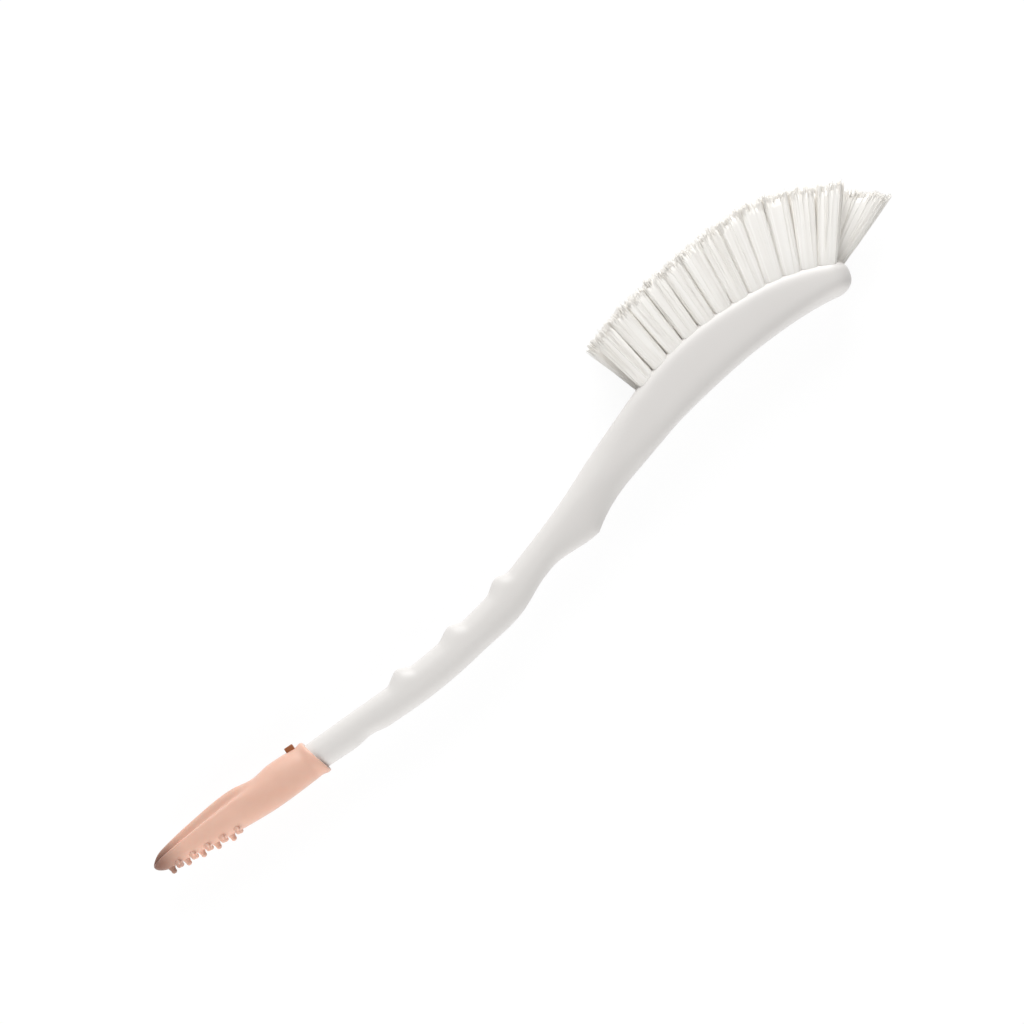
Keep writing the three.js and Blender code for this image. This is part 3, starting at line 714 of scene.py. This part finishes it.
def copies(pattern, places):
    """Copies of a pattern, each set on a place, joined in one object; the pattern is removed."""
    deselect()
    for place in places:
        copy = pattern.copy()
        copy.data = pattern.data.copy()
        copy.data.transform(place)
        bpy.context.collection.objects.link(copy)
        copy.select_set(True)
        bpy.context.view_layer.objects.active = copy
    bpy.data.objects.remove(pattern)
    bpy.ops.object.join()
    return bpy.context.object


def smooth(piece, angle):
    """Shades a piece smoothly, except over edges sharper than an angle."""
    deselect()
    piece.select_set(True)
    bpy.context.view_layer.objects.active = piece
    bpy.ops.object.shade_smooth_by_angle(angle=angle)


def steps(start, end, step):
    """Evenly spaced places from start up to end, without end, no further apart than a step."""
    count = math.ceil((end - start) / step)
    return [start + (end - start) * i / count for i in range(count)]


def towards_end(end, rounding):
    """Places inside a rounded end, closer together towards the end itself."""
    turns = [math.pi / 2 * i / NOSE_RINGS for i in range(NOSE_RINGS)]
    return [end - rounding * (1 - math.sin(turn)) for turn in turns]


def handle_distances():
    """Where the handle's rings stand: close over the crests, one at the heel, and ever closer at the nose."""
    distances = steps(SPIGOT_CHAMFER - SPIGOT_LENGTH, CREST_PLACES[0] - CREST_RISE, HANDLE_STEP)
    for i, crest in enumerate(CREST_PLACES):
        following = CREST_PLACES[i + 1] - CREST_RISE if i + 1 < len(CREST_PLACES) else HEEL_PLACE
        distances += steps(crest - CREST_RISE, crest, CREST_STEP)
        distances += steps(crest, crest + CREST_FALL, CREST_STEP)
        distances += steps(crest + CREST_FALL, following, HANDLE_STEP)
    distances += steps(HEEL_PLACE, HANDLE_END - NOSE_ROUNDING, HANDLE_STEP)
    return distances + towards_end(HANDLE_END, NOSE_ROUNDING)


class BRUSH_OT_handle(bpy.types.Operator):
    """Models the handle, neck and head as one moulding with a hole for each tuft"""
    bl_idname = "bottle_brush.handle"
    bl_label = "Handle"

    def execute(self, context):
        settings = context.scene.brush_handle
        rings = [handle_ring(-SPIGOT_LENGTH, 0, -SPIGOT_CHAMFER)]
        rings += [handle_ring(distance, settings.crest_height) for distance in handle_distances()]
        handle = swept_skin("moulded_handle", rings)
        deselect()
        bpy.ops.mesh.primitive_cylinder_add(
            vertices=HOLE_SIDES, radius=HOLE_RADIUS, depth=2 * HOLE_DEPTH, rotation=(math.pi / 2, 0, 0))
        bpy.ops.object.transform_apply()
        holes = copies(bpy.context.object, [tuft[0] for row in ROWS.values() for tuft in row_tufts(row)])
        combine(handle, holes, "DIFFERENCE")
        smooth(handle, HANDLE_SHARP)
        handle.data.materials.append(moulded_polypropylene(settings))
        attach(handle, "brush")
        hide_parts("handle")
        return {"FINISHED"}


def rod_pattern(sides, cuts):
    """A rod of unit radius and height, cut across at some heights: its points and its faces."""
    deselect()
    bpy.ops.mesh.primitive_cylinder_add(vertices=sides, radius=1, depth=1, location=(0, 0, 0.5))
    bpy.ops.object.transform_apply()
    bpy.ops.object.mode_set(mode="EDIT")
    for height in cuts:
        bpy.ops.mesh.select_all(action="SELECT")
        bpy.ops.mesh.bisect(plane_co=(0, 0, height), plane_no=(0, 0, 1))
    bpy.ops.object.mode_set(mode="OBJECT")
    rod = bpy.context.object
    points = np.array([vertex.co for vertex in rod.data.vertices])
    faces = [list(face.vertices) for face in rod.data.polygons]
    bpy.data.objects.remove(rod)
    return points, faces


def tuft_widths(height, share, settings):
    """Half widths of a tuft along and across its row: it bulges in the mouth of its hole and then opens."""
    at_nose = share == 1
    bulge = settings.nose_bulge if at_nose else settings.bulge
    spread = settings.nose_spread if at_nose else settings.spread_along
    bulged = np.sqrt(np.clip(height / BULGED_AT, 0, 1))
    along = HOLE_RADIUS + (bulge - HOLE_RADIUS) * bulged + (spread - bulge) * height
    across = HOLE_RADIUS + (settings.spread_across - HOLE_RADIUS) * bulged
    return along, across


def planted(along, out, across, frame_of_tuft):
    """Points given along, out of and across a row, set in the frame of one of its tufts."""
    turned = np.array(frame_of_tuft)
    return np.hstack((along, out, across)) @ turned[:3, :3].T + turned[:3, 3]


def rise_out(height, length):
    """How far the points of a tuft stand out of the head, which start deep inside its hole."""
    return np.where(height > 0, length * height - FOOT_SUNK * (1 - height), -HOLE_DEPTH / 2)


def core_points(points, columns, tuft, settings, draw):
    """The points of a tuft's packed inside: a squarish rod with a ragged, domed end."""
    matrix, length, share, slope = tuft
    ragged = np.array([draw.gauss(0, settings.raggedness) for _ in range(CORE_SIDES)])[columns][:, None]
    height = points[:, 2:3]
    flat = np.sign(points[:, :2]) * np.abs(points[:, :2]) ** (2 / TUFT_SQUARENESS)
    size = CORE_SHARE * np.interp(height, list(CORE_TAPER), list(CORE_TAPER.values()))
    along, across = tuft_widths(height, share, settings)
    sloped = slope * tuft_widths(1, share, settings)[0] * flat[:, 0:1]
    out = rise_out(height, CORE_REACH * length + sloped + np.where(height > CORE_RAGGED_FROM, ragged, 0))
    return planted(size * along * flat[:, 0:1], out, -size * across * flat[:, 1:2], matrix)


def tuft_clumps(settings, draw):
    """The shade, lean and trim that the filaments of each clump in a tuft share."""
    return [(draw.random(), draw.gauss(0, CLUMP_LEAN), draw.gauss(0, settings.raggedness))
            for _ in range(CLUMP_COUNT)]


def filament_points(points, tuft, clumps, waviness, settings, draw):
    """The points of one filament, from its hole to its trimmed end, and its shade."""
    matrix, length, share, slope = tuft
    reach = np.array([draw.uniform(-1, 1), draw.uniform(-1, 1)])
    crowded = np.max(np.abs(reach)) ** CROWDING
    reach *= crowded / np.sum(np.abs(reach) ** TUFT_SQUARENESS) ** (1 / TUFT_SQUARENESS)
    clump_shade, lean, trim = clumps[min(int((reach[0] + 1) / 2 * CLUMP_COUNT), CLUMP_COUNT - 1)]
    stray = [draw.gauss(0, waviness) for _ in range(4)]
    sloped = slope * tuft_widths(1, share, settings)[0] * reach[0]
    trimmed = length + sloped + trim + draw.gauss(0, settings.raggedness)
    turn = draw.uniform(0, math.pi / 2)
    height = points[:, 2:3]
    bowed = 4 * height * (1 - height)
    along, across = tuft_widths(height, share, settings)
    thick = settings.diameter / 2 * np.where(height > FILAMENT_END_FROM, FILAMENT_END_SHARE, 1)
    round_x = points[:, 0:1] * math.cos(turn) - points[:, 1:2] * math.sin(turn)
    round_z = points[:, 0:1] * math.sin(turn) + points[:, 1:2] * math.cos(turn)
    along = reach[0] * (along - settings.diameter) + (lean + stray[0]) * height + stray[1] * bowed
    across = reach[1] * (across - settings.diameter) + stray[2] * height + stray[3] * bowed
    placed = planted(along + thick * round_x, rise_out(height, trimmed), across - thick * round_z, matrix)
    return placed, CLUMP_SHADE * clump_shade + (1 - CLUMP_SHADE) * draw.random()


def repeated(faces, count, size, first):
    """The faces of many copies of a pattern of some size, whose points are numbered on from a first one."""
    return [[first + i * size + k for k in face] for i in range(count) for face in faces]


class BRUSH_OT_tufts(bpy.types.Operator):
    """Plants the three rows of nylon tufts, filament by filament"""
    bl_idname = "bottle_brush.tufts"
    bl_label = "Tufts"

    def execute(self, context):
        settings = context.scene.brush_tufts
        filament, filament_faces = rod_pattern(FILAMENT_SIDES, FILAMENT_CUTS)
        core, core_faces = rod_pattern(CORE_SIDES, CORE_CUTS)
        # The side of the core that each of its points stands on
        columns = np.round(np.arctan2(core[:, 1], core[:, 0]) * CORE_SIDES / (2 * math.pi)).astype(int)
        nylon = extruded_nylon(settings)
        draw = random.Random(DRAW_SEED)
        for side, row in ROWS.items():
            tufts = row_tufts(row)
            points = [core_points(core, columns, tuft, settings, draw) for tuft in tufts]
            shades = [np.array([draw.random() for _ in range(CORE_SIDES)])[columns] for _ in tufts]
            faces = repeated(core_faces, len(tufts), len(core), 0)
            count = len(tufts) * settings.filaments
            faces += repeated(filament_faces, count, len(filament), len(tufts) * len(core))
            for tuft in tufts:
                clumps = tuft_clumps(settings, draw)
                for i in range(settings.filaments):
                    waviness = settings.waviness * (1 if i % STRAY_EVERY else STRAY_TIMES)
                    placed, shade = filament_points(filament, tuft, clumps, waviness, settings, draw)
                    points.append(placed)
                    shades.append(np.full(len(filament), shade))
            mesh = bpy.data.meshes.new(f"nylon_tufts_{side}")
            mesh.from_pydata(np.vstack(points).tolist(), [], faces)
            strand = mesh.attributes.new("strand", "FLOAT", "POINT")
            strand.data.foreach_set("value", np.concatenate(shades))
            row_piece = bpy.data.objects.new(mesh.name, mesh)
            context.collection.objects.link(row_piece)
            smooth(row_piece, TUFT_SHARP)
            mesh.materials.append(nylon)
            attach(row_piece, "brush")
            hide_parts(f"bristle_row_{side}")
        return {"FINISHED"}


def tip_rings(flute_depth):
    """Rings from the bottom of the tip's bore out to its rounded rim and along its skin to the nose."""
    angles = [2 * math.pi * k / TIP_POINTS for k in range(TIP_POINTS)]
    angles = [angle if angle <= math.pi else angle - 2 * math.pi for angle in angles]
    inner = handle_half(0, 0)[0] + FIT_GAP
    half_wall = (BEAD_RADIUS - inner) / 2

    def hoop(distance, radius):
        slant = mouth_slant(max(0, distance))
        heights = [radius * math.cos(a) for a in angles]
        return [MOUTH + Vector((-distance - slant * height, height, -radius * math.sin(a)))
                for height, a in zip(heights, angles)]

    bore = steps(-SPIGOT_LENGTH - FIT_GAP, -half_wall, BORE_STEP)
    rings = [hoop(-place, handle_half(place, 0)[0] + FIT_GAP) for place in bore]
    for i in range(RIM_RINGS):
        turn = math.pi * i / (RIM_RINGS - 1)
        rings.append(hoop(half_wall * (1 - math.sin(turn)), inner + half_wall * (1 - math.cos(turn))))
    places = steps(2 * half_wall, TIP_LENGTH - FRONT_ROUNDING, TIP_STEP)
    places += towards_end(TIP_LENGTH, FRONT_ROUNDING)
    return rings + [[tip_point(place, a, flute_depth) for a in angles] for place in places]


def nub_pattern(settings):
    """One nub along Z: a rounded end, a straight shank and a foot that flares into the skin."""
    deselect()
    sunk = settings.nub_radius
    depth = settings.nub_height + sunk
    bpy.ops.mesh.primitive_cylinder_add(
        vertices=NUB_SIDES, radius=settings.nub_radius, depth=depth, location=(0, 0, depth / 2 - sunk))
    bpy.ops.object.transform_apply()
    pattern = bpy.context.object
    bpy.ops.object.mode_set(mode="EDIT")
    for height in NUB_CUTS:
        bpy.ops.mesh.select_all(action="SELECT")
        bpy.ops.mesh.bisect(plane_co=(0, 0, height * settings.nub_height), plane_no=(0, 0, 1))
    shape = bmesh.from_edit_mesh(pattern.data)
    for vertex in shape.verts:
        if vertex.co.z < NUB_FLARED_TO * settings.nub_height:
            flare = NUB_FLARE if vertex.co.z > 0 else NUB_FOOT_FLARE
            vertex.co.x *= flare
            vertex.co.y *= flare
    for edge in shape.edges:
        edge.select_set(all(vertex.co.z > NUB_END_FROM * settings.nub_height for vertex in edge.verts))
    bmesh.update_edit_mesh(pattern.data)
    bpy.ops.mesh.bevel(offset=NUB_ROUNDING * settings.nub_radius, segments=NUB_ROUND_STEPS)
    bpy.ops.object.mode_set(mode="OBJECT")
    return pattern


def nub_places(flute_depth):
    """Where the nubs stand on the belly: a middle row, and a row beside it on each side half a pitch on."""
    places = []
    beside = math.pi - NUB_SIDE_ANGLE
    for i in range(NUB_COUNT):
        distance = TIP_LENGTH - NUB_FROM_NOSE - i * NUB_PITCH
        for back, angle in ((0, math.pi), (NUB_PITCH / 2, beside), (NUB_PITCH / 2, -beside)):
            outward = Vector((0, math.cos(angle), -math.sin(angle)))
            turn = outward.to_track_quat("Z", "X").to_matrix().to_4x4()
            places.append(Matrix.Translation(tip_point(distance - back, angle, flute_depth)) @ turn)
    return places


class BRUSH_OT_tip(bpy.types.Operator):
    """Models the soft tip with its rim, fin, flutes and nubs"""
    bl_idname = "bottle_brush.tip"
    bl_label = "Soft tip"

    def execute(self, context):
        settings = context.scene.brush_tip
        tip = swept_skin("soft_tip", tip_rings(settings.flute_depth))
        nubs = copies(nub_pattern(settings), nub_places(settings.flute_depth))
        combine(tip, nubs, "UNION")
        smooth(tip, TIP_SHARP)
        tip.data.materials.clear()
        tip.data.materials.append(moulded_elastomer(settings))
        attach(tip, "tip")
        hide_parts("teat_tip")
        return {"FINISHED"}


class BRUSH_OT_peg(bpy.types.Operator):
    """Models the small square peg on top of the tip's sleeve"""
    bl_idname = "bottle_brush.peg"
    bl_label = "Peg"

    def execute(self, context):
        settings = context.scene.brush_tip
        deselect()
        size = PEG_SIZE + Vector((0, PEG_SUNK, 0))
        middle = MOUTH + Vector((-PEG_MIDDLE, PEG_SEAT + (PEG_SIZE.y - PEG_SUNK) / 2, 0))
        bpy.ops.mesh.primitive_cube_add(size=1, location=middle, scale=size)
        bpy.ops.object.transform_apply()
        peg = named("sleeve_peg")
        bpy.ops.object.mode_set(mode="EDIT")
        bpy.ops.mesh.select_all(action="SELECT")
        bpy.ops.mesh.bevel(offset=settings.peg_bevel, segments=PEG_ROUND_STEPS)
        bpy.ops.object.mode_set(mode="OBJECT")
        smooth(peg, PEG_SHARP)
        peg.data.materials.append(shaded_peg_elastomer(settings))
        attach(peg, "tip")
        return {"FINISHED"}


class BRUSH_OT_anchors(bpy.types.Operator):
    """Gives the anchors at the bottom of the tuft holes their brass"""
    bl_idname = "bottle_brush.anchors"
    bl_label = "Anchors"

    def execute(self, context):
        brass = cut_brass_strip()
        for name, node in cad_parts.items():
            if name.startswith("anchor_"):
                node.data.materials.clear()
                node.data.materials.append(brass)
        return {"FINISHED"}


def area_light(name, target, towards, power):
    """A large square light in a direction from the target, turned to face it."""
    deselect()
    direction = towards.normalized()
    bpy.ops.object.light_add(type="AREA", location=target + LIGHT_DISTANCE * direction)
    light = bpy.context.object
    light.name = name
    light.rotation_euler = direction.to_track_quat("Z", "Y").to_euler()
    light.data.shape = "SQUARE"
    light.data.size = LIGHT_SIZE
    light.data.energy = power
    return light


class BRUSH_OT_stage(bpy.types.Operator):
    """Sets up the white studio: floor, room, lights and camera"""
    bl_idname = "bottle_brush.stage"
    bl_label = "Stage"

    def execute(self, context):
        settings = context.scene.brush_stage
        # Directions to the picture's right and top, and out of it
        right = Vector((math.cos(settings.roll), -math.sin(settings.roll), 0))
        up = Vector((math.sin(settings.roll), math.cos(settings.roll), 0))
        above = Vector((0, 0, 1))
        target = MOUTH + PICTURE_MIDDLE

        deselect()
        bpy.ops.mesh.primitive_plane_add(size=FLOOR_SIZE, location=(0, 0, CAD_BOX[0].z - FLOOR_GAP))
        bpy.ops.object.transform_apply()
        floor = named("studio_floor")
        floor.data.materials.append(white_paper())

        world = bpy.data.worlds.new("white_room")
        world.use_nodes = True
        world.node_tree.nodes.clear()
        tree = world.node_tree
        room = add_node(tree, "ShaderNodeBackground", {"Color": (1, 1, 1, 1), "Strength": settings.ambient})
        backdrop = add_node(tree, "ShaderNodeBackground", {"Color": (1, 1, 1, 1), "Strength": 1})
        mixed = add_node(tree, "ShaderNodeMixShader", {
            0: seen_directly(tree), 1: room.outputs[0], 2: backdrop.outputs[0]})
        add_node(tree, "ShaderNodeOutputWorld", {"Surface": mixed.outputs[0]})
        context.scene.world = world

        lift = LIGHT_LIFT * above
        area_light("key_light", target, up - KEY_ASIDE * right + lift, settings.key_power)
        fill = area_light("fill_light", target, lift - up, settings.fill_power)
        fill.visible_glossy = False
        context.scene.cycles.diffuse_bounces = DIFFUSE_BOUNCES

        back = math.cos(settings.tilt) * above - math.sin(settings.tilt) * up
        bpy.ops.object.camera_add(location=target + settings.camera_distance * back)
        camera = context.object
        camera.name = "product_camera"
        camera_up = back.cross(right)
        camera.rotation_euler = Matrix((right, camera_up, back)).transposed().to_euler()
        camera.data.lens = camera.data.sensor_width * settings.camera_distance / settings.view_width
        context.scene.camera = camera
        context.scene.view_settings.view_transform = "Standard"
        return {"FINISHED"}


class BRUSH_PT_panel(bpy.types.Panel):
    """Lists the operators that model the brush"""
    bl_idname = "BRUSH_PT_panel"
    bl_label = "Bottle Brush"
    bl_space_type = "VIEW_3D"
    bl_region_type = "UI"
    bl_category = "Bottle Brush"

    def draw(self, context):
        for operator in OPERATORS:
            self.layout.operator(operator.bl_idname)


SETTINGS = {
    "brush_handle": HandleSettings,
    "brush_tufts": TuftSettings,
    "brush_tip": TipSettings,
    "brush_stage": StageSettings,
}
OPERATORS = [BRUSH_OT_handle, BRUSH_OT_tufts, BRUSH_OT_tip, BRUSH_OT_peg, BRUSH_OT_anchors, BRUSH_OT_stage]


def register():
    """Registers the settings, operators and panel."""
    for kind in [*SETTINGS.values(), *OPERATORS, BRUSH_PT_panel]:
        bpy.utils.register_class(kind)
    for name, kind in SETTINGS.items():
        setattr(bpy.types.Scene, name, PointerProperty(type=kind))


def unregister():
    """Removes the settings, operators and panel again."""
    for name in SETTINGS:
        delattr(bpy.types.Scene, name)
    for kind in [BRUSH_PT_panel, *reversed(OPERATORS), *reversed(SETTINGS.values())]:
        bpy.utils.unregister_class(kind)


def main():
    """Builds the brush and its studio."""
    register()
    bpy.ops.bottle_brush.handle()
    bpy.ops.bottle_brush.tufts()
    bpy.ops.bottle_brush.tip()
    bpy.ops.bottle_brush.peg()
    bpy.ops.bottle_brush.anchors()
    bpy.ops.bottle_brush.stage()


if __name__ == "__main__":
    main()
